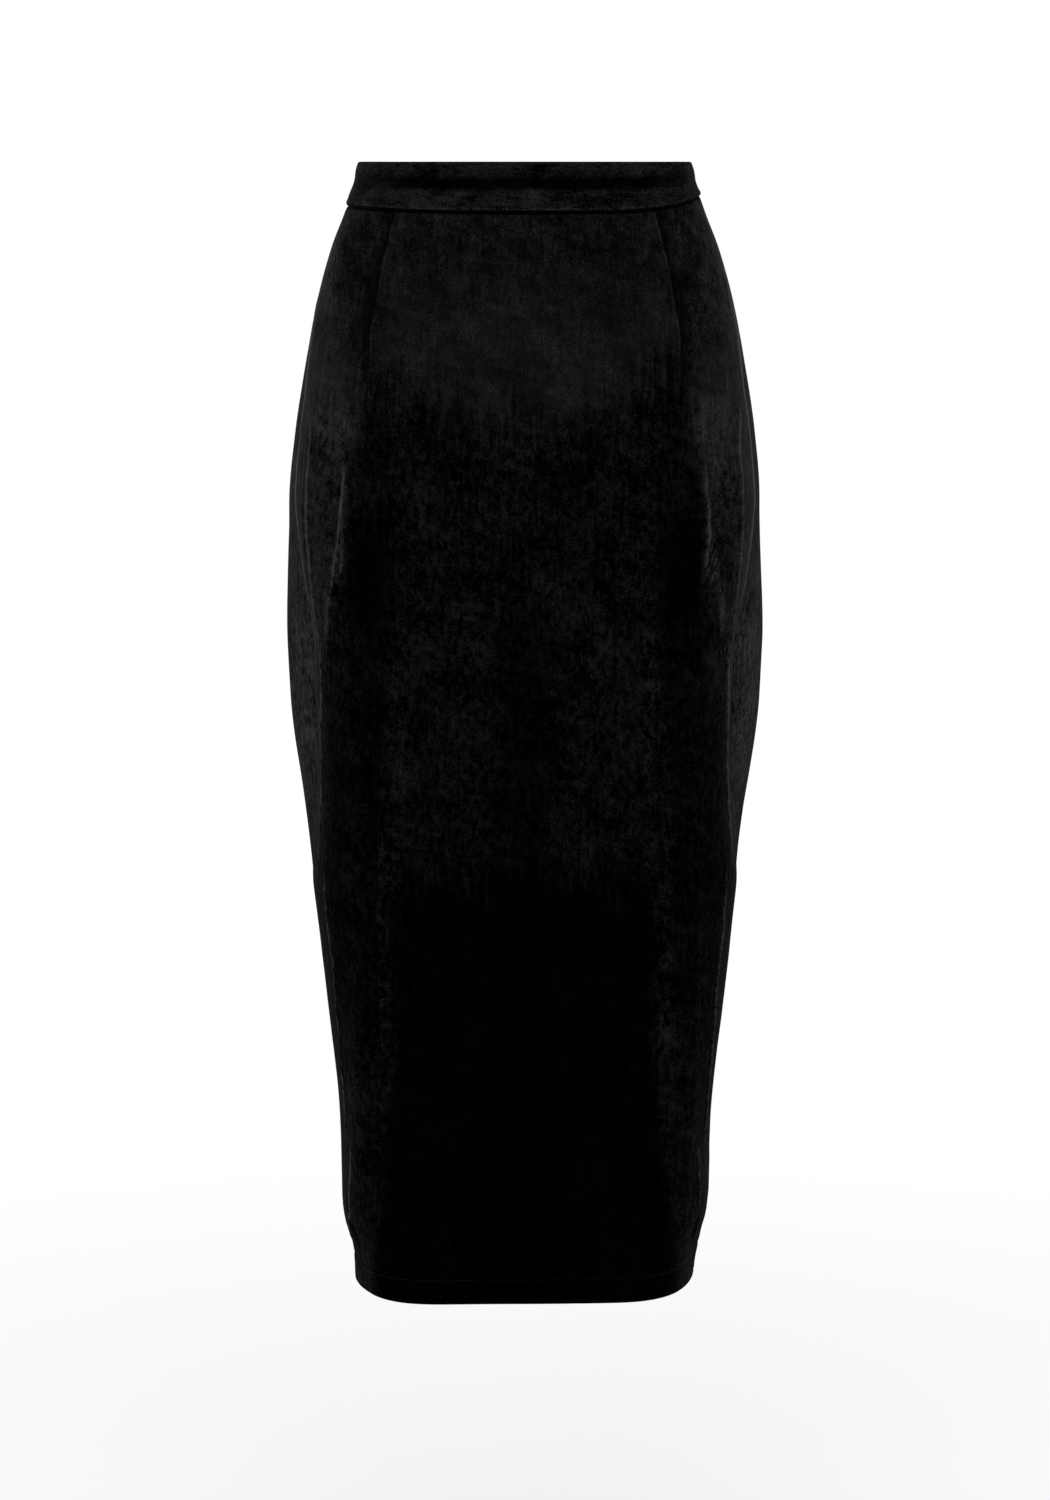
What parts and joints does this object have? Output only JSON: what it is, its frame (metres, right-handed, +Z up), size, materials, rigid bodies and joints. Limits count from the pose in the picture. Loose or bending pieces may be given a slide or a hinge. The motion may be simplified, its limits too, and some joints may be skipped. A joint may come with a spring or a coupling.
{
  "type": "pencil skirt",
  "caption": "High-waisted pencil midi skirt in black faux suede, filled out and hollow, with waistband, darts, hem, back slit and zip pull.",
  "frame": {"origin": "centre of the waist, halfway up the waistband, where the wearer holds the skirt", "axes": "+Z up the skirt, -Y out of its front, +X towards the wearer's left side"},
  "size_m": [0.3384, 0.2421, 0.8],
  "materials": {
    "suede": "matt faux suede with a short mottled nap and a soft sheen at grazing angles",
    "zip_tape": "matt knitted polyester tape",
    "zip_metal": "satin black enamel"
  },
  "bodies": {
    "skirt": {"front_panel": "suede", "back_panel_left": "suede", "back_panel_right": "suede", "waistband_front": "suede", "waistband_back_left": "suede", "waistband_back_right": "suede", "zip_tape_left": "zip_tape", "zip_tape_right": "zip_tape", "zip_slider": "zip_metal"},
    "zip_pull": {"zip_pull": "zip_metal"}
  },
  "joints": [
    {"name": "zip_pull_swing", "type": "hinge", "parent": "skirt", "child": "zip_pull", "pos_m": [0, 0.08995, 0.0095], "axis": [1, 0, 0], "range_deg": [0, 160]}
  ]
}
